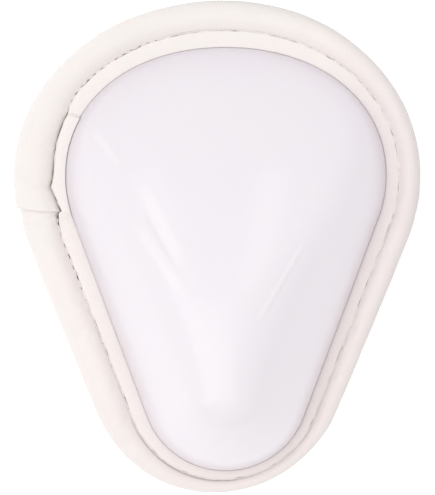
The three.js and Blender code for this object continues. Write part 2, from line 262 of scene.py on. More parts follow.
# The camera's sensor in millimetres, the level at which the view is measured, and where it stands
SENSOR = 24.0
VIEW_LEVEL = 6.0 * MM
EYE_PLACE = (0.33 * MM, -0.2 * MM)


def number(name, description, default, **more):
    """A plain number."""
    return FloatProperty(name=name, description=description, default=default, **more)


def size(name, description, default):
    """A length in metres."""
    return number(name, description, default, unit="LENGTH", precision=4)


def mm(name, description, default_mm):
    """A length whose default is given in millimetres."""
    return size(name, description, default_mm * MM)


def angle(name, description, degrees):
    """An angle whose default is given in degrees."""
    return number(name, description, math.radians(degrees), subtype="ANGLE")


def share(name, description, default):
    """A share between nothing and one."""
    return number(name, description, default, min=0.0, max=1.0, subtype="FACTOR")


def colour(name, description, default):
    """A colour in linear light."""
    return FloatVectorProperty(name=name, description=description, default=default, min=0.0, max=1.0,
                               size=3, subtype="COLOR")


def whole(name, description, default, least):
    """A number of steps."""
    return IntProperty(name=name, description=description, default=default, min=least)


class GuardOutlineSizes(PropertyGroup):
    """Outline of the whole guard and of the cup's foot, seen from the front."""

    length: size("Length", "Waist edge to tail", CAD_LENGTH)
    width: size("Width", "Widest place of the rim", CAD_WIDTH)
    widest: mm("Widest Height", "Widest place over the tail tip", 107.5)
    tail_radius: mm("Tail Radius", "Radius of the rim's tail", 42.5)
    flank_lean: angle("Flank Lean", "Lean of the rim's flanks", 22.4)
    side_fullness: share("Side Fullness", "How straight the sides run up", 0.5)
    top_fullness: share("Top Fullness", "How flat the waist edge is", 0.6)
    crown_shift: mm("Crown Shift", "How far the waist edge leans right", 1.8)
    tail_shift: mm("Tail Shift", "How far the tail leans right", -1.0)
    cup_length: mm("Cup Length", "Length of the cup's foot", 142.0)
    cup_width: mm("Cup Width", "Width of the cup's foot", 107.4)
    cup_widest: mm("Cup Widest Height", "Widest place over the cup's tail", 99.0)
    cup_tail_radius: mm("Cup Tail Radius", "Radius of the cup's tail", 28.0)
    cup_flank_lean: angle("Cup Flank Lean", "Lean of the cup's flanks", 20.5)
    cup_crown_fullness: share("Cup Crown Fullness", "How full its upper corners are", 0.58)
    cup_shift: mm("Cup Shift", "How far the cup lies right", 3.0)
    tail_rim: mm("Tail Rim", "Width of the rim at the tail tip", 7.6)
    bow_rise: mm("Bow Rise", "Height of the bow", 6.0)
    bow_span: mm("Bow Span", "Length of the bow", 156.0)


class GuardCupSizes(PropertyGroup):
    """Form of the moulded cup."""

    wall: mm("Wall", "Thickness of the cup", 2.4)
    panel_rise: mm("Panel Rise", "Height that the panel gains", 41.5)
    panel_foot: mm("Panel Foot", "Height of the panel at the waist edge", 3.0)
    panel_reach: mm("Panel Reach", "Length of the panel", 112.0)
    panel_curve: number("Panel Curve", "How much the panel levels out", 1.55)
    panel_crown_radius: mm("Panel Crown Radius", "Radius of the panel across", 210.0)
    foot_rise: mm("Foot Rise", "Height of the steep foot", 12.5)
    foot_radius: mm("Foot Radius", "How soon the steep foot gives way", 1.7)
    wall_rise: mm("Wall Rise", "Height of the walls over their foot", 33.5)
    edge_shade: mm("Edge Shade", "How far up the foot is darker", 4.5)
    crease_softness: mm("Crease Softness", "Rounding of the panel's edges", 4.5)


class GuardRimSizes(PropertyGroup):
    """Flange, padding and covering of the rim."""

    flange: mm("Flange", "Thickness of the cup's flange", 2.4)
    pad_under: mm("Pad Under Flange", "Padding under the flange", 4.0)
    flange_to_edge: mm("Flange To Edge", "Padding outside the flange", 4.4)
    roll_height: mm("Roll Height", "Height of the roll", 12.0)
    roll_roundness: number("Roll Roundness", "Two is an ellipse", 2.3)
    lip_thickness: mm("Lip Thickness", "Thickness of the turned edge", 1.5)
    lip_roundness: number("Lip Roundness", "Two is an ellipse", 4.0)
    tongue_thickness: mm("Tongue Thickness", "Thickness of the free end", 1.2)
    tongue_setback: mm("Tongue Setback", "Free end to cup", 0.1)
    tongue_rounding: mm("Tongue Rounding", "Length of the rounded tip", 1.6)
    lap_length: mm("Lap Length", "From the joint to the free end's tip", 48.0)
    lap_lip: mm("Lap Lip", "Lip under the free end", 3.5)
    joint_up: mm("Joint Height", "Joint over the tail tip", 95.5)
    joint_slant: mm("Joint Slant", "How far the joint slants", 8.5)
    joint_step: mm("Joint Step", "Upper end over the lower", 1.3)
    joint_fade: mm("Joint Fade", "Length of the ends' swelling", 26.0)
    joint_drop: mm("Joint Drop", "Length of the free end's descent", 9.0)
    rest_press: mm("Rest Press", "How far the rim is pressed flat", 1.0)
    gap: mm("Gap", "Clearance between pieces", 0.3)
    cup_lean: share("Cup Lean", "How far the lip closes up on the cup", 0.92)
    seam_lean: mm("Seam Lean", "How far the lip leans on the roll", 0.28)
    stitch_pitch: mm("Stitch Pitch", "From stitch to stitch", 3.4)
    stitch_length: mm("Stitch Length", "Length of one stitch", 2.3)
    stitch_radius: mm("Stitch Radius", "Radius of the thread", 0.2)
    puff_steps: whole("Puff Steps", "Frames of cloth", 12, 2)
    puff_growth: share("Puff Growth", "How much larger it is cut", 0.006)
    puff_limit: mm("Puff Limit", "How far the filling may move it", 0.8)
    puff_room: mm("Puff Room", "How much narrower it is cut", 0.6)


class GuardFinish(PropertyGroup):
    """Colours, painted shades and gloss."""

    cup_colour: colour("Cup Colour", "Milky plastic", (0.885, 0.862, 0.915))
    # Colour of the painted shade on the cup towards its foot and along its crease shade lines
    cup_painted_shade: colour("Cup Edge", "The plastic towards its foot", (0.74, 0.68, 0.75))
    cup_roughness: share("Cup Roughness", "Roughness of the plastic", 0.32)
    covering_colour: colour("Covering Colour", "Off-white covering", (0.955, 0.92, 0.888))
    # Colour of the pinker painted shade on the covering to the right and at the tail
    covering_pink_shade: colour("Covering Blush", "The covering to the right and at the tail", (0.965, 0.9, 0.872))
    # Colour of the duller painted shade on the covering's right side
    covering_right_shade: colour("Covering Dull", "The covering on the right side", (0.9, 0.84, 0.832))
    # Colour of the painted shade in the covering's seams and creases
    covering_shade: colour("Covering Shade", "The covering in its creases", (0.74, 0.64, 0.55))
    # Colour of the greyer painted shade on the roll's outer flank
    flank_shade: colour("Flank Shade", "The roll's outer flank", (0.6, 0.61, 0.58))
    thread_colour: colour("Thread Colour", "Sewing thread", (0.9, 0.86, 0.82))
    grain_size: mm("Grain Size", "Size of one pebble", 0.75)


class GuardStage(PropertyGroup):
    """Floor, light and camera."""

    floor_colour: colour("Floor Colour", "Plain pale floor", (0.95, 0.95, 0.95))
    floor_glow: number("Floor Glow", "Light of the floor itself", 0.3)
    sky: number("Sky", "Even light all round", 0.68)
    sky_colour: colour("Sky Colour", "Tint of the even light", (1.0, 0.965, 0.975))
    camera_distance: mm("Camera Distance", "Camera over the surface", 900.0)
    view_height: mm("View Height", "Height of the view at the rim", 165.7)


def sizes():
    """The scene's settings for this add-on."""
    scene = bpy.context.scene
    return scene.guard_outline, scene.guard_cup, scene.guard_rim


def lengths(vectors):
    """Length of each row."""
    return np.linalg.norm(vectors, axis=1)


def halved(turns):
    """Whether each turn lies on the right side, and how far up it is."""
    part = turns - np.floor(turns)
    right = part < 0.5
    return right, np.where(right, 2 * part, 2 * (1 - part))


def smooth(share_done):
    """A share that starts and ends gently."""
    return share_done * share_done * (3 - 2 * share_done)


class Outline:
    """An egg-shaped outline: its right half runs from the tail tip to the middle of the waist edge."""

    def __init__(self, length, width, widest, tail_radius, lean, fullness, shifts, tail):
        half = width / 2
        self.shift, self.crown_shift, self.tail_shift = shifts
        self.tail_radius = tail_radius
        self.top = tail + length
        self.tail_centre = tail + tail_radius
        self.widest_y = tail + widest
        tangent = np.array([tail_radius * math.cos(lean), self.tail_centre - tail_radius * math.sin(lean)])
        corner = np.array([half, tangent[1] + (half - tangent[0]) / math.tan(lean)])
        shoulder = self.widest_y - corner[1]
        flank_end = corner - shoulder * np.array([math.sin(lean), math.cos(lean)])
        side = np.array([half, self.widest_y])
        self.tangent_y = tangent[1]
        t = np.linspace(0, 1, OUTLINE_POINTS)[:, None]
        s = 1 - t
        angle = -math.pi / 2 + t * (math.pi / 2 - lean)
        high = np.array([half, self.widest_y + fullness[0] * (self.top - self.widest_y)])
        near = np.array([fullness[1] * half, self.top])
        waist = np.array([0.0, self.top])
        self.curves = {
            "tail": np.hstack([tail_radius * np.cos(angle), self.tail_centre + tail_radius * np.sin(angle)]),
            "flank": tangent + t * (flank_end - tangent),
            "shoulder": s**2 * flank_end + 2 * t * s * corner + t**2 * side,
            "crown": s**3 * side + 3 * t * s**2 * high + 3 * t**2 * s * near + t**3 * waist,
        }

    def length(self):
        """Length of the whole ring."""
        return 2 * sum(lengths(np.diff(points, axis=0)).sum() for points in self.curves.values())

    def points(self, turns):
        """Points at turns of the ring from the tail tip through the right side."""
        right, half = halved(turns)
        x = np.zeros_like(half)
        y = np.zeros_like(half)
        start = 0.0
        for stretch in STRETCHES:
            points = self.curves[stretch["name"]]
            steps = lengths(np.diff(points, axis=0))
            along = np.concatenate([[0], np.cumsum(steps)]) / steps.sum()
            here = (half >= start) & (half <= stretch["until"])
            where = (half[here] - start) / (stretch["until"] - start)
            x[here] = np.interp(where, along, points[:, 0])
            y[here] = np.interp(where, along, points[:, 1])
            start = stretch["until"]
        up_crown = np.clip((y - self.widest_y) / (self.top - self.widest_y), 0, 1)
        down_tail = np.clip((self.tail_centre - y) / self.tail_radius, 0, 1)
        shift = self.shift + self.crown_shift * up_crown**2 + self.tail_shift * down_tail**2
        return np.stack([shift + np.where(right, x, -x), y], axis=-1)

    def left_turn(self, height):
        """The turn at which the left side stands at a height."""
        low, high = 0.0, 1.0
        for _ in range(TURN_HALVINGS):
            middle = (low + high) / 2
            if self.points(np.array([middle / 2]))[0, 1] < height:
                low = middle
            else:
                high = middle
        return 1 - low / 2


def outlines():
    """Outline of the guard and of the cup's foot."""
    o = bpy.context.scene.guard_outline
    tail = -o.length / 2
    fullness = (o.side_fullness, o.top_fullness)
    shifts = (0.0, o.crown_shift, o.tail_shift)
    guard = Outline(o.length, o.width, o.widest, o.tail_radius, o.flank_lean, fullness, shifts, tail)
    fullness = (o.cup_crown_fullness, o.cup_crown_fullness)
    shifts = (o.cup_shift, 0.0, 0.0)
    tail = tail + o.tail_rim
    cup = Outline(o.cup_length, o.cup_width, o.cup_widest, o.cup_tail_radius, o.cup_flank_lean, fullness,
                  shifts, tail)
    return guard, cup


def round_value(column, turns):
    """A column of the table of the ring, smoothly between its rows."""
    part = turns - np.floor(turns)
    places = np.array([row["at"] for row in ROUND] + [1.0])
    values = np.array([row[column] for row in ROUND] + [ROUND[0][column]])
    before = np.clip(np.searchsorted(places, part, side="right") - 1, 0, len(ROUND) - 1)
    along = (part - places[before]) / (places[before + 1] - places[before])
    return values[before] + (values[before + 1] - values[before]) * smooth(along)


def foot_share(turns):
    """The steep foot of the cup's wall as a share of its full height."""
    _, half = halved(turns)
    places = [0.0] + [stretch["until"] for stretch in STRETCHES]
    values = [STRETCHES[0]["foot"]] + [stretch["foot"] for stretch in STRETCHES]
    return np.interp(half, places, values)


class Ring:
    """Stations round the ring: the cup's foot, the way out to the rim's edge, and its sizes there."""

    def __init__(self, turns):
        outline, cup_sizes, rim = sizes()
        guard, cup = outlines()
        self.turns = turns
        self.cup = cup
        self.edge = cup.points(turns)
        out = guard.points(turns) - self.edge
        self.width = lengths(out)
        self.out = out / self.width[:, None]
        along = np.clip((self.edge[:, 1] - cup.tangent_y) / (cup.widest_y - cup.tangent_y), 0, 1)
        spine_y = cup.tail_centre + along * (cup.widest_y - cup.tail_centre)
        self.spine = np.stack([np.full_like(spine_y, cup.shift), spine_y], axis=1)
        self.roll = rim.roll_height * round_value("roll", turns)
        self.foot = cup_sizes.foot_rise * foot_share(turns)
        self.length = guard.length()
        self.joint = guard.left_turn(rim.joint_up - outline.length / 2)
        self.lap = self.joint + rim.joint_slant / self.length
        self.tongue = self.lap - rim.lap_length / self.length
        self.lip = self.lip_width(rim)

    def lip_width(self, rim):
        """The lip's usual share of the rim's width, and its own width beside the joint."""
        usual = self.width * round_value("lip", self.turns)
        from_lap = self.turns - self.lap
        along = (from_lap - np.round(from_lap)) * self.length / rim.lap_length
        places = [row["along"] for row in LAP]
        lapped = rim.lap_lip * np.interp(along, places, [row["lip"] for row in LAP])
        hold = np.interp(along, places, [row["hold"] for row in LAP])
        return usual + (lapped - usual) * hold

    def sheared(self, out):
        """The turns moved along the ring where the roll's sections slant beside the joint."""
        _, _, rim = sizes()
        from_joint = self.turns - self.joint
        near = np.clip(1 - np.abs(from_joint - np.round(from_joint)) * self.length / rim.joint_fade, 0, None)
        inwards = np.minimum(1, (self.width - out) / (self.width - rim.lap_lip))
        return self.turns + rim.joint_slant * near * inwards / self.length

    def place(self, across, height):
        """Points at distances out from the cup's foot and heights over the rim's base."""
        plan = self.edge[:, None, :] + self.out[:, None, :] * across[:, :, None]
        lifted = np.maximum(height + bow(plan[..., 1]), 0.0)
        return np.concatenate([plan, lifted[..., None]], axis=2)


def bow(y):
    """The bow lifts the middle of the guard."""
    outline = bpy.context.scene.guard_outline
    return outline.bow_rise * np.maximum(0.0, 1 - (y / (outline.bow_span / 2)) ** 2)


def soft_min(a, b, softness):
    """The lesser of two values, rounded where they meet."""
    near = np.maximum(softness - np.abs(a - b), 0.0) / softness
    return np.minimum(a, b) - near * near * softness / 4


def ripple(turns, waves):
    """An uneven wave round the ring: rows of height, count and start."""
    return sum(size * np.sin(2 * math.pi * (count * turns + start)) for size, count, start in waves)


def dome_height(cup, x, y, from_foot, rib, foot, inset):
    """Height over the flange of the cup's outside, or with an inset its inside, along a rib from the foot."""
    c = bpy.context.scene.guard_cup
    part = from_foot / rib
    slope = 2 * c.wall_rise * (1 - part) / rib
    wall_drop = inset * (np.hypot(1, slope) - slope * (1 - part))
    wall = (foot - wall_drop) * (1 - np.exp(-from_foot / c.foot_radius)) + c.wall_rise * part * (2 - part)
    along = np.clip((cup.top - y) / c.panel_reach, 0, 1)
    across = x - cup.shift
    panel = c.panel_foot + c.panel_rise * (1 - (1 - along) ** c.panel_curve)
    panel = panel - across**2 / (2 * c.panel_crown_radius)
    panel = panel - inset * math.hypot(1, c.panel_rise * c.panel_curve / c.panel_reach)
    return soft_min(wall, panel, c.crease_softness)


def wall_back(ring, height):
    """How far in from its foot the cup's outside has risen to a height above the flange."""
    inwards = ring.spine - ring.edge
    rib = lengths(inwards)
    low, high = np.zeros_like(rib), np.full_like(rib, WALL_REACH)
    for _ in range(WALL_HALVINGS):
        middle = (low + high) / 2
        plan = ring.edge + inwards * (middle / rib)[:, None]
        risen = dome_height(ring.cup, plan[:, 0], plan[:, 1], middle, rib, ring.foot, 0.0) > height
        low = np.where(risen, low, middle)
        high = np.where(risen, middle, high)
    return high


def cup_sheet(ring, shares, inset):
    """Points of the cup's outside or inside, in a row for each station."""
    _, _, rim = sizes()
    inwards = ring.spine - ring.edge
    inwards = inwards / lengths(inwards)[:, None]
    start = ring.edge + inwards * inset
    reach = lengths(ring.spine - start)[:, None]
    plan = start[:, None, :] + (ring.spine - start)[:, None, :] * shares[None, :, None]
    x, y = plan[..., 0], plan[..., 1]
    height = dome_height(ring.cup, x, y, shares * reach, reach, ring.foot[:, None], inset)
    height = np.maximum(height, -rim.flange if inset else 0.0)
    z = rim.pad_under + rim.flange + height + bow(y)
    return np.stack([x, y, z], axis=2)


def grid_faces(rows, columns, ringed, looped, start=0):
    """Quads between rows of points that run counterclockwise seen along the ring."""
    faces = []
    for i in range(rows if ringed else rows - 1):
        here = start + i * columns
        following = start + ((i + 1) % rows) * columns
        for j in range(columns if looped else columns - 1):
            k = (j + 1) % columns
            faces.append((here + j, following + j, following + k, here + k))
    return faces


def add_object(name, data):
    """An object in the scene."""
    made = bpy.data.objects.new(name, data)
    bpy.context.scene.collection.objects.link(made)
    return made


def add_mesh(name, points, faces):
    """A mesh object in the scene."""
    mesh = bpy.data.meshes.new(name)
    mesh.from_pydata(np.reshape(points, (-1, 3)).tolist(), [], faces)
    mesh.validate()
    return add_object(name, mesh)


def make_piece(name, points, faces, material):
    """A mesh object that rides on the guard."""
    piece = add_mesh(name, points, faces)
    piece.data.shade_smooth()
    piece.data.materials.append(material)
    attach(piece, "root")
    return piece


def weld(piece):
    """Joins points that lie on each other."""
    work = bmesh.new()
    work.from_mesh(piece.data)
    bmesh.ops.remove_doubles(work, verts=work.verts, dist=WELD)
    bmesh.ops.dissolve_degenerate(work, edges=work.edges, dist=WELD)
    work.to_mesh(piece.data)
    work.free()


def paint(piece, name, values):
    """Stores one number a point under a name that a material can read."""
    layer = piece.data.attributes.new(name, "FLOAT", "POINT")
    layer.data.foreach_set("value", np.asarray(values, dtype=np.float32).ravel())


def operator(operation, swapped=False):
    """A Python operator that makes one maths node."""

    def method(self, other):
        values = (other, self) if swapped else (self, other)
        return self.make.node("ShaderNodeMath", {"operation": operation}, dict(enumerate(values)))

    return method


class Shade:
    """A shader socket that can be used in Python sums."""

    __add__ = __radd__ = operator("ADD")
    __sub__ = operator("SUBTRACT")
    __rsub__ = operator("SUBTRACT", swapped=True)
    __mul__ = __rmul__ = operator("MULTIPLY")
    __truediv__ = operator("DIVIDE")

    def __init__(self, make, socket):
        self.make = make
        self.socket = socket

    def clamp(self):
        """The value kept between nothing and one."""
        return self.make.node("ShaderNodeClamp", {}, {"Value": self})


class Make:
    """Builds one material's nodes."""

    def __init__(self, name):
        self.material = bpy.data.materials.new(name)
        self.material.use_nodes = True
        self.tree = self.material.node_tree
        self.tree.nodes.clear()
        self.place = self.node("ShaderNodeTexCoord", {}, {}, output=3)

    def node(self, kind, settings, inputs, output=0):
        """A node with its settings and its sockets' values or links."""
        made = self.tree.nodes.new(kind)
        for key, value in settings.items():
            setattr(made, key, value)
        for key, value in inputs.items():
            if isinstance(value, Shade):
                self.tree.links.new(value.socket, made.inputs[key])
            else:
                made.inputs[key].default_value = value
        return Shade(self, made.outputs[output]) if made.outputs else None

    def mix(self, factor, a, b):
        """A blend of two colours."""
        return self.node("ShaderNodeMix", {"data_type": "RGBA"}, {0: factor, 6: a, 7: b}, output=2)

    def painted(self, name):
        """A number that the mesh stores for each point."""
        return self.node("ShaderNodeAttribute", {"attribute_name": name}, {}, output=2)

    def plan(self):
        """The two parts of a point's place that the view from the front shows."""
        return [self.node("ShaderNodeSeparateXYZ", {}, {0: self.place}, output=axis) for axis in (0, 1)]

    def stroke(self, x, y, row):
        """A soft stroke in plan that fades to its sides and ends."""
        (start_x, start_y), (end_x, end_y) = ([value * MM for value in row[key]] for key in ("start", "end"))
        length = math.hypot(end_x - start_x, end_y - start_y)
        way_x, way_y = (end_x - start_x) / length, (end_y - start_y) / length
        along = ((x - start_x) * way_x + (y - start_y) * way_y) / length
        beside = ((x - start_x) * way_y - (y - start_y) * way_x) / (row["width"] * MM)
        return row["strength"] * (1 - beside * beside).clamp() * (STROKE_FADE * along * (1 - along)).clamp()

    def noise(self, name):
        """One of the noises, with blotches about one size across."""
        across, detail, roughness = NOISE[name]
        inputs = {"Vector": self.place, "Scale": 1 / across, "Detail": detail, "Roughness": roughness}
        return self.node("ShaderNodeTexNoise", {}, inputs)

    def bump(self, height, distance):
        """Relief of a height in metres."""
        return self.node("ShaderNodeBump", {}, {"Strength": 1.0, "Distance": distance, "Height": height})

    def surface(self, inputs):
        """Ends the material in one glossy surface."""
        shader = self.node("ShaderNodeBsdfPrincipled", {}, inputs)
        self.node("ShaderNodeOutputMaterial", {}, {"Surface": shader})
        return self.material


def rgba(values):
    """A colour with full cover."""
    return (*values, 1.0)


def cup_plastic():
    """Milky, slightly uneven plastic with a soft gloss, painted shade towards its foot, and painted highlights
    and painted shade lines along its creases.
    """
    finish = bpy.context.scene.guard_finish
    make = Make("milky_plastic")
    cloud = make.noise("cloud")
    orange_peel = make.noise("peel")
    base = finish.cup_colour
    warm = tuple(min(channel * tint, 1.0) for channel, tint in zip(base, WARM_TINT))
    body = make.mix(cloud, rgba(base), rgba(warm))
    # Painted shade: the plastic darker towards its foot
    foot_shaded = make.mix(make.painted("foot") * (0.75 + 0.5 * cloud), body, rgba(finish.cup_painted_shade))
    x, y = make.plan()
    # Painted highlights along the light creases and painted shade lines along the others, each with real bump
    # relief
    painted_highlights = sum(make.stroke(x, y, row) for row in CREASES if row["light"])
    painted_crease_shade = sum(make.stroke(x, y, row) for row in CREASES if not row["light"])
    highlighted = make.mix(painted_highlights.clamp(), foot_shaded, WHITE)
    colour_over = make.mix(painted_crease_shade.clamp(), highlighted, rgba(finish.cup_painted_shade))
    return make.surface({
        "Base Color": colour_over,
        "Roughness": finish.cup_roughness + 0.08 * cloud,
        "IOR": 1.48,
        "Subsurface Weight": 0.25,
        "Subsurface Radius": (0.006, 0.006, 0.007),
        "Subsurface Scale": 0.6,
        "Coat Weight": 0.28,
        "Coat Roughness": 0.09,
        "Normal": make.bump(orange_peel + CREASE_RELIEF * (painted_highlights - painted_crease_shade), CUP_RELIEF),
    })


def covering_leather():
    """Soft imitation leather: fine pebbled grain, with a warmer painted shade in the seams, a greyer painted
    shade on the roll's outer flank, and a pinker, duller painted shade to the right and at the tail.
    """
    finish = bpy.context.scene.guard_finish
    make = Make("covering")
    crevice = make.painted("crevice")
    warp = make.noise("warp")
    pebble = make.node("ShaderNodeTexVoronoi", {"feature": "DISTANCE_TO_EDGE"},
                       {"Vector": make.place, "Scale": 1 / finish.grain_size})
    valley = (1 - 6 * pebble).clamp()
    fine = make.noise("fine")
    blotch = make.noise("blotch")
    relief = 0.5 * fine + 0.6 * (1 - valley) + 0.8 * warp
    # Painted shade in the seams, broken up by a noise
    broken = make.noise("crevice_shade")
    seam = crevice * (1.5 * broken - 0.2).clamp()
    x, y = make.plan()
    # Pinker painted shade growing towards the right and the tail
    pink_shade = (PINK_SHADE_START + PINK_SHADE_RISE * x - PINK_SHADE_RISE * y + PINK_SHADE_MOTTLE * (blotch - 0.5)).clamp()
    pale = make.mix(pink_shade, rgba(finish.covering_colour), rgba(finish.covering_pink_shade))
    # Duller painted shade growing towards the right side
    body = make.mix(((x - RIGHT_SHADE_FROM) / RIGHT_SHADE_FADE).clamp(), pale, rgba(finish.covering_right_shade))
    # Painted seam shade mixed with darker grain valleys and random blotches
    shade_grain_and_blotches = (SEAM_SHADE_TINT * seam + GRAIN_TINT * valley + BLOTCH_TINT * (blotch - 0.5)).clamp()
    shaded = make.mix(shade_grain_and_blotches, body, rgba(finish.covering_shade))
    # Greyer painted shade on the roll's outer flank
    tone = make.mix(FLANK_SHADE_TINT * make.painted("flank"), shaded, rgba(finish.flank_shade))
    return make.surface({
        "Base Color": tone,
        "Roughness": 0.5 + 0.12 * blotch,
        "IOR": 1.45,
        "Subsurface Weight": 0.08,
        "Subsurface Radius": (0.004, 0.003, 0.0025),
        "Subsurface Scale": 0.4,
        "Sheen Weight": 0.1,
        "Normal": make.bump(relief, COVERING_RELIEF),
    })


def sewing_thread():
    """Twisted thread."""
    finish = bpy.context.scene.guard_finish
    make = Make("sewing_thread")
    twist = make.noise("twist")
    return make.surface({
        "Base Color": make.mix(twist, rgba(finish.thread_colour), rgba(finish.covering_colour)),
        "Roughness": 0.7,
        "Normal": make.bump(twist, THREAD_RELIEF),
    })


def floor_paper():
    """Plain pale paper that glows a little, as a lit backdrop does."""
    stage = bpy.context.scene.guard_stage
    make = Make("floor_paper")
    fibre = make.noise("fibre")
    return make.surface({
        "Base Color": rgba(stage.floor_colour),
        "Roughness": 0.85 + 0.05 * fibre,
        "Emission Color": WHITE,
        "Emission Strength": stage.floor_glow,
    })


def even(start, end, steps):
    """Evenly spaced numbers, both ends included."""
    return np.linspace(start, end, steps + 1)


def oval(angles, roundness):
    """Points of a rounded oval of half sizes one."""
    across = np.sign(np.cos(angles)) * np.abs(np.cos(angles)) ** (2 / roundness)
    up = np.sign(np.sin(angles)) * np.abs(np.sin(angles)) ** (2 / roundness)
    return across, up


class GUARD_OT_cup(Operator):
    """Moulded cup with a smooth dome, hollow to the back, and the flange that the rim is sewn to"""

    bl_idname = "guard.cup"
    bl_label = "Cup"

    stations: whole("Stations", "Steps round the cup", 368, 24)
    rows: whole("Rows", "Steps from the foot to the middle", 84, 8)

    def execute(self, context):
        _, cup, rim = sizes()
        ring = Ring(even(0, 1, self.stations)[:-1])
        outside = cup_sheet(ring, even(0, 1, self.rows) ** FOOT_BUNCHING, 0.0)
        inside = cup_sheet(ring, (even(0, 1, self.rows // 2) ** FOOT_BUNCHING)[::-1], cup.wall)
        edge = (ring.width - rim.flange_to_edge)[:, None]
        under = np.full_like(edge, rim.pad_under)
        low_edge = ring.place(edge, under)
        high_edge = ring.place(edge, under + rim.flange)
        inner_foot = inside[:, -1:, :].copy()
        inner_foot[..., 2] = rim.pad_under + bow(inner_foot[..., 1])
        outer = np.concatenate([low_edge, high_edge, outside], axis=1)
        inner = np.concatenate([inside, inner_foot, low_edge], axis=1)
        count = len(ring.turns)
        faces = grid_faces(count, outer.shape[1], True, False)
        faces += grid_faces(count, inner.shape[1], True, False, start=outer.shape[0] * outer.shape[1])
        points = np.concatenate([outer.reshape(-1, 3), inner.reshape(-1, 3)])
        piece = make_piece("moulded_cup", points, faces, cup_plastic())
        reach = lengths(ring.spine - ring.edge)[:, None]
        from_foot = even(0, 1, self.rows) ** FOOT_BUNCHING * reach
        # Painted shade on the cup's outside, strongest at its foot and fading up the wall
        foot = np.zeros(len(points))
        outside_rows = np.concatenate([np.ones((count, 2)), np.exp(-from_foot / cup.edge_shade)], axis=1)
        foot[:outside_rows.size] = outside_rows.ravel()
        paint(piece, "foot", FOOT_SHADE * foot)
        weld(piece)
        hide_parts("cup_shell")
        return {"FINISHED"}


def roll_section(ring, shares, swell, uneven):
    """Distances out and heights of the roll's surface at shares of its section."""
    _, _, rim = sizes()
    inner = ring.lip
    outer = ring.width - rim.puff_room + swell + WAVES_OUT * uneven
    top = ring.roll + swell + uneven
    middle_out, middle_up = (inner + outer) / 2, (top - rim.rest_press) / 2
    half_out, half_up = (outer - inner) / 2, (top + rim.rest_press) / 2
    slot_top = rim.pad_under + rim.flange + rim.gap
    slot_under = rim.pad_under - rim.gap
    power = rim.roll_roundness / 2
    low = np.arcsin(np.clip((middle_up - slot_under) / half_up, 0, 1) ** power)
    high = np.arcsin(np.clip((slot_top - middle_up) / half_up, 0, 1) ** power)
    across, up = oval(-math.pi + low + shares * (2 * math.pi - low - high), rim.roll_roundness)
    return middle_out + half_out * across, middle_up + half_up * up


def roll_grid(stations, columns):
    """Turns along the roll, and points of its surface in a row for each turn."""
    _, _, rim = sizes()
    probe = Ring(np.array([0.0]))
    turns = even(probe.joint - OVERLAP / probe.length, probe.joint + 1, stations)
    turns = np.append(turns, [turns[-1]] * 2)
    rows, steps = len(turns), columns + 1
    fade = rim.joint_fade / probe.length
    below = np.clip(1 - (turns - probe.joint) / fade, 0, 1) ** 2
    above = np.clip(1 - (probe.joint + 1 - turns) / fade, 0, 1) ** 2
    swell = rim.joint_step / 2 * (above - below)
    swell[-2] -= rim.joint_step * END_ROUNDING
    swell[-1] -= rim.joint_step
    shares = np.tile(even(0, 1, columns), rows)
    waves = ripple(turns, ROLL_WAVES)
    swell, uneven, flat_turns = (np.repeat(value, steps) for value in (swell, waves, turns))
    straight = Ring(flat_turns)
    out, _ = roll_section(straight, shares, swell, uneven)
    ring = Ring(straight.sheared(out))
    out, up = roll_section(ring, shares, swell, uneven)
    surface = ring.place(out[:, None], up[:, None]).reshape(rows, steps, 3)
    slot_out = (ring.width - rim.flange_to_edge + rim.gap)[:, None]
    top, under = (ring.place(slot_out, np.full_like(slot_out, height)).reshape(rows, steps, 3)
                  for height in (rim.pad_under + rim.flange + rim.gap, rim.pad_under - rim.gap))
    return turns, np.concatenate([surface, top[:, -1:], under[:, :1]], axis=1)


def tube_faces(rows, columns, start=0):
    """Faces of a tube of loops with a flat cap at each end."""
    end = start + rows * columns
    faces = grid_faces(rows, columns, False, True, start)
    faces.append(tuple(range(start, start + columns)))
    faces.append(tuple(reversed(range(end - columns, end))))
    return faces


def resampled(values, axis, known, wanted):
    """Values between the known places along one axis."""
    return np.apply_along_axis(lambda line: np.interp(wanted, known, line), axis, values)


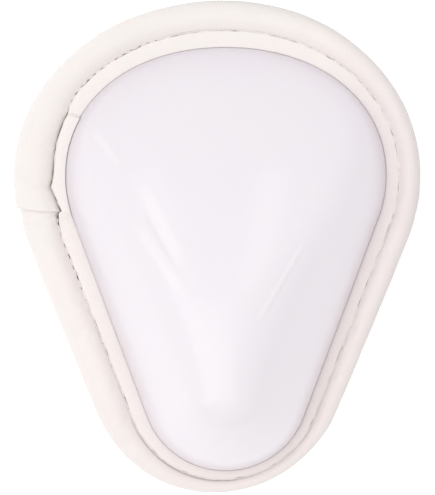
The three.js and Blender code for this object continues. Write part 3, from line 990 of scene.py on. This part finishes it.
def puffed(turns, grid, net_stations, net_columns):
    """The roll's points once cloth has filled it, simulated on a coarser net."""
    scene = bpy.context.scene
    rim = scene.guard_rim
    net_turns, net = (values[:-2] for values in roll_grid(net_stations, net_columns))
    rows, columns = net.shape[:2]
    piece = add_mesh("net", net * PUFF_SCALE, tube_faces(rows, columns))
    group = piece.vertex_groups.new(name="pins")
    row, column = np.indices((rows, columns))
    held = (column < HELD_SIDES) | (column > net_columns - HELD_SIDES)
    held = held | (row < HELD_START) | (row > rows - HELD_END)
    group.add(np.flatnonzero(held).tolist(), 1.0, "REPLACE")
    modifier = piece.modifiers.new("puff", "CLOTH")
    cloth = modifier.settings
    for setting, value in CLOTH.items():
        setattr(cloth, setting, value)
    cloth.shrink_min = -rim.puff_growth
    cloth.vertex_group_mass = group.name
    cloth.effector_weights.gravity = 0.0
    modifier.collision_settings.use_collision = False
    modifier.point_cache.frame_end = rim.puff_steps
    for step in range(1, rim.puff_steps + 1):
        scene.frame_set(step)
    shaped = piece.evaluated_get(bpy.context.evaluated_depsgraph_get())
    moved = np.empty(rows * columns * 3)
    shaped.data.vertices.foreach_get("co", moved)
    shift = moved.reshape(net.shape) / PUFF_SCALE - net
    bpy.data.meshes.remove(piece.data)
    scene.frame_set(1)
    far = np.linalg.norm(shift, axis=2, keepdims=True)
    shift = shift * rim.puff_limit / np.maximum(far, rim.puff_limit)
    shift = resampled(shift[:, :-2], 0, net_turns, turns)
    shift = resampled(shift, 1, even(0, 1, net_columns), even(0, 1, grid.shape[1] - 3))
    result = grid.copy()
    result[:, :-2] += shift
    result[..., 2] = np.maximum(result[..., 2], 0.0)
    return result


class GUARD_OT_roll(Operator):
    """Padded roll of covering over foam, sewn down on both sides of the flange, with its two ends lapped"""

    bl_idname = "guard.roll"
    bl_label = "Padded Roll"

    stations: whole("Stations", "Steps along the roll", 560, 60)
    columns: whole("Columns", "Steps round its section", 44, 12)
    net_stations: whole("Net Stations", "Cloth's steps along the roll", 230, 30)
    net_columns: whole("Net Columns", "Cloth's steps round its section", 24, 8)

    def execute(self, context):
        turns, grid = roll_grid(self.stations, self.columns)
        grid = puffed(turns, grid, self.net_stations, self.net_columns)
        rows, columns = grid.shape[:2]
        faces = tube_faces(rows, columns)
        piece = make_piece("padded_roll", grid, faces, covering_leather())
        probe = Ring(np.array([0.0]))
        _, column = np.indices((rows, columns))
        # Painted shade in the roll's seam, and more at its joint
        from_seam = np.minimum(column, np.abs(self.columns - column)) / self.columns
        crevice = np.exp(-((from_seam / SEAM_SPREAD) ** 2)) * round_value("seam", turns)[:, None]
        from_joint = (turns - probe.joint) * probe.length / JOINT_SHADE_SPREAD
        crevice = crevice + JOINT_SHADE * np.exp(-(from_joint**2))[:, None]
        paint(piece, "crevice", np.clip(crevice, 0, 1))
        # Painted shade on the roll's outer flank, growing towards the right
        round_section = (column / self.columns - FLANK_PLACE) / FLANK_SPREAD
        to_right = np.clip((grid[..., 0] - FLANK_FROM) / FLANK_FADE, 0, 1)
        paint(piece, "flank", np.exp(-round_section**2) * to_right)
        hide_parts("rim_roll")
        return {"FINISHED"}


def strip_points(ring, near, far, under, thickness, columns, hem, leans):
    """A soft strip along the ring, square and hemmed beside the cup, its top leaning on cup and roll."""
    _, _, rim = sizes()
    angles = even(0, 2 * math.pi, columns)[:-1]
    seam_side = oval(angles, rim.lip_roundness)
    cup_side = oval(angles, CUP_EDGE_SHARPNESS * rim.lip_roundness)
    across, up = (np.where(np.cos(angles) > 0, soft, square) for soft, square in zip(seam_side, cup_side))
    middle = ((near + far) / 2)[:, None]
    half = ((far - near) / 2)[:, None]
    rise = (under + thickness / 2)[:, None] + (thickness / 2)[:, None] * up
    hemmed = np.where(up > 0, hem * np.exp(-(((across - HEM_PLACE) / HEM_WIDTH) ** 2)), 0.0)
    top = np.clip(up, 0, 1)
    sides = (-across, across)
    to_cup, to_roll = (lean[:, None] * (top * np.clip(side, 0, 1)) for lean, side in zip(leans, sides))
    return ring.place(middle + half * across - to_cup + to_roll, rise + hemmed)


def strip_piece(name, grid, ringed, crevice, node):
    """The strip's mesh in the covering's material."""
    rows, columns = grid.shape[:2]
    faces = grid_faces(rows, columns, True, True) if ringed else tube_faces(rows, columns)
    piece = make_piece(name, grid, faces, covering_leather())
    paint(piece, "crevice", np.clip(crevice, 0, 1))
    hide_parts(node)


class GUARD_OT_front_lip(Operator):
    """Turned edge of the covering on the front of the flange, with its free end lapped as a tongue"""

    bl_idname = "guard.front_lip"
    bl_label = "Front Lip"

    stations: whole("Stations", "Steps along the lip", 620, 60)
    columns: whole("Columns", "Steps round its section", 26, 8)

    def execute(self, context):
        _, _, rim = sizes()
        probe = Ring(np.array([0.0]))
        drop_end = probe.lap + rim.joint_drop / probe.length
        tip = probe.tongue + even(0, 1, TIP_STEPS) ** 2 * (rim.tongue_rounding / probe.length)
        tongue = even(tip[-1], drop_end, TONGUE_STEPS)[1:]
        rest = even(drop_end, probe.lap + 1 - rim.gap / probe.length, self.stations)[1:]
        ring = Ring(np.concatenate([tip, tongue, rest]))
        turns = ring.turns
        dropped = smooth(np.clip((turns - ring.lap) / (drop_end - ring.lap), 0, 1))
        from_tip = np.clip((turns - ring.tongue) * ring.length / rim.tongue_rounding, TIP_START, 1)
        rounded = np.sqrt(1 - (1 - from_tip) ** 2)
        near = rim.tongue_setback - (LIP_TUCK + rim.tongue_setback) * dropped
        far = ring.lip - rim.gap * (1 - dropped) + (ripple(turns, LIP_WAVES) - LIP_SETBACK) * dropped
        middle = (near + far) / 2
        half = (far - near) / 2 * rounded
        near, far = middle - half, middle + half
        flange_top = rim.pad_under + rim.flange
        lip_top = flange_top + rim.gap + rim.lip_thickness
        under = (lip_top + rim.gap) * (1 - dropped) + (flange_top + rim.gap) * dropped
        thickness = rim.tongue_thickness * (1 - dropped) * rounded + rim.lip_thickness * dropped
        thickness = thickness + ripple(turns, LIP_SWELLS) * dropped
        to_wall = wall_back(ring, under + thickness - flange_top) + near
        leans = (rim.cup_lean * to_wall, rim.seam_lean * dropped)
        grid = strip_points(ring, near, far, under, thickness, self.columns, HEM_HEIGHT, leans)
        angles = even(0, 2 * math.pi, self.columns)[:-1]
        # Painted shade along the lip's edges at the roll and at the cup
        crevice_shade = sum(depth * np.exp(-(((angles - place) / spread) ** 2)) for place, spread, depth in LIP_EDGE_SHADE)
        crevice = crevice_shade * round_value("seam", turns)[:, None]
        strip_piece("front_edge_strip", grid, False, crevice, "front_lip")
        return {"FINISHED"}


class GUARD_OT_back_lip(Operator):
    """Turned edge of the covering behind the flange"""

    bl_idname = "guard.back_lip"
    bl_label = "Back Lip"

    stations: whole("Stations", "Steps along the lip", 420, 60)
    columns: whole("Columns", "Steps round its section", 20, 8)

    def execute(self, context):
        _, cup, rim = sizes()
        ring = Ring(even(0, 1, self.stations)[:-1])
        none = np.zeros_like(ring.turns)
        near = none + (BACK_REACH - cup.wall)
        under = none + (rim.pad_under - rim.gap - rim.lip_thickness)
        thickness = none + rim.lip_thickness
        grid = strip_points(ring, near, ring.lip - rim.gap, under, thickness, self.columns, 0.0, (none, none))
        # An even painted shade over the back lip under the flange
        crevice = np.full(grid.shape[:2], BACK_LIP_SHADE)
        strip_piece("back_edge_strip", grid, True, crevice, "back_lip")
        return {"FINISHED"}


class GUARD_OT_stitches(Operator):
    """Row of stitches sunk in the seam between the roll and each lip"""

    bl_idname = "guard.stitches"
    bl_label = "Stitches"

    def execute(self, context):
        _, _, rim = sizes()
        probe = Ring(np.array([0.0]))
        count = int(probe.length / rim.stitch_pitch)
        thread = sewing_thread()
        sides = even(0, 2 * math.pi, STITCH_SIDES)[:-1]
        lip_top = rim.pad_under + rim.flange + rim.gap + rim.lip_thickness
        for seam in SEAMS:
            inwards = seam["inwards"]
            height = (lip_top if inwards < 0 else rim.pad_under) - seam["depth"]
            points = []
            faces = []
            for index in range(count):
                middle = probe.joint + (index + 0.5) / count
                along = (middle - probe.tongue + 0.5) % 1 * probe.length - probe.length / 2
                if inwards < 0 and 0 < along < rim.lap_length:
                    continue
                apart = STITCHES_FROM < along < STITCHES_TO
                style = APART if apart else END_TO_END
                length = rim.stitch_length if apart else END_TO_END_SHARE * rim.stitch_pitch
                ring = Ring(middle + length / 2 / probe.length * STITCH_PLACES)
                radius = rim.stitch_radius * style["taper"]
                rise = height + inwards * style["sink"] * STITCH_SINK
                out = ring.lip + seam["beside"]
                across = out[:, None] + radius[:, None] * np.cos(sides)
                rise = rise[:, None] + radius[:, None] * np.sin(sides)
                faces += tube_faces(len(STITCH_PLACES), STITCH_SIDES, len(points))
                points.extend(ring.place(across, rise).reshape(-1, 3))
            make_piece(seam["name"], points, faces, thread)
        return {"FINISHED"}


def area_light(name, place, aim, size, power, tint):
    """A soft rectangular light that faces a point."""
    light = bpy.data.lights.new(name, "AREA")
    light.shape = "RECTANGLE"
    light.size, light.size_y = size
    light.energy = power
    light.color = tint
    lamp = add_object(name, light)
    lamp.location = place
    way = Vector(aim) - Vector(place)
    lamp.rotation_euler = way.to_track_quat("-Z", "Y").to_euler()


class GUARD_OT_stage(Operator):
    """Pale floor, soft studio light and the camera straight in front of the guard"""

    bl_idname = "guard.stage"
    bl_label = "Stage"

    def execute(self, context):
        scene = context.scene
        stage = scene.guard_stage
        square = ((-1, -1), (1, -1), (1, 1), (-1, 1))
        corners = [(x * FLOOR_HALF, y * FLOOR_HALF, -FLOOR_DROP) for x, y in square]
        floor = add_mesh("floor", corners, [(0, 1, 2, 3)])
        floor.data.materials.append(floor_paper())
        world = bpy.data.worlds.new("even_sky")
        world.use_nodes = True
        sky = world.node_tree.nodes["Background"]
        sky.inputs["Color"].default_value = rgba(stage.sky_colour)
        sky.inputs["Strength"].default_value = stage.sky
        scene.world = world
        for row in LIGHTS:
            area_light(**row)
        scene.view_settings.view_transform = "Standard"
        camera = bpy.data.cameras.new("front_camera")
        camera.sensor_fit = "VERTICAL"
        camera.sensor_height = SENSOR
        camera.lens = SENSOR * (stage.camera_distance - VIEW_LEVEL) / stage.view_height
        eye = add_object("front_camera", camera)
        eye.location = (*EYE_PLACE, stage.camera_distance)
        scene.camera = eye
        return {"FINISHED"}


STEPS = ("cup", "roll", "front_lip", "back_lip", "stitches", "stage")


class GUARD_PT_panel(Panel):
    """Lists the guard's pieces and sizes"""

    bl_idname = "GUARD_PT_panel"
    bl_label = "Abdominal Guard"
    bl_space_type = "VIEW_3D"
    bl_region_type = "UI"
    bl_category = "Guard"

    def draw(self, context):
        layout = self.layout
        for step in STEPS:
            layout.operator("guard." + step)
        for key, kind in GROUPS.items():
            box = layout.box()
            for name in kind.__annotations__:
                box.prop(getattr(context.scene, key), name)


GROUPS = {
    "guard_outline": GuardOutlineSizes,
    "guard_cup": GuardCupSizes,
    "guard_rim": GuardRimSizes,
    "guard_finish": GuardFinish,
    "guard_stage": GuardStage,
}
OPERATORS = (GUARD_OT_cup, GUARD_OT_roll, GUARD_OT_front_lip, GUARD_OT_back_lip, GUARD_OT_stitches)
CLASSES = (*GROUPS.values(), *OPERATORS, GUARD_OT_stage, GUARD_PT_panel)


def register():
    for cls in CLASSES:
        bpy.utils.register_class(cls)
    for name, group in GROUPS.items():
        setattr(bpy.types.Scene, name, PointerProperty(type=group))


def unregister():
    for name in GROUPS:
        delattr(bpy.types.Scene, name)
    for cls in reversed(CLASSES):
        bpy.utils.unregister_class(cls)


def main():
    """Builds every piece and the stage."""
    register()
    for step in STEPS:
        getattr(bpy.ops.guard, step)()


if __name__ == "__main__":
    main()
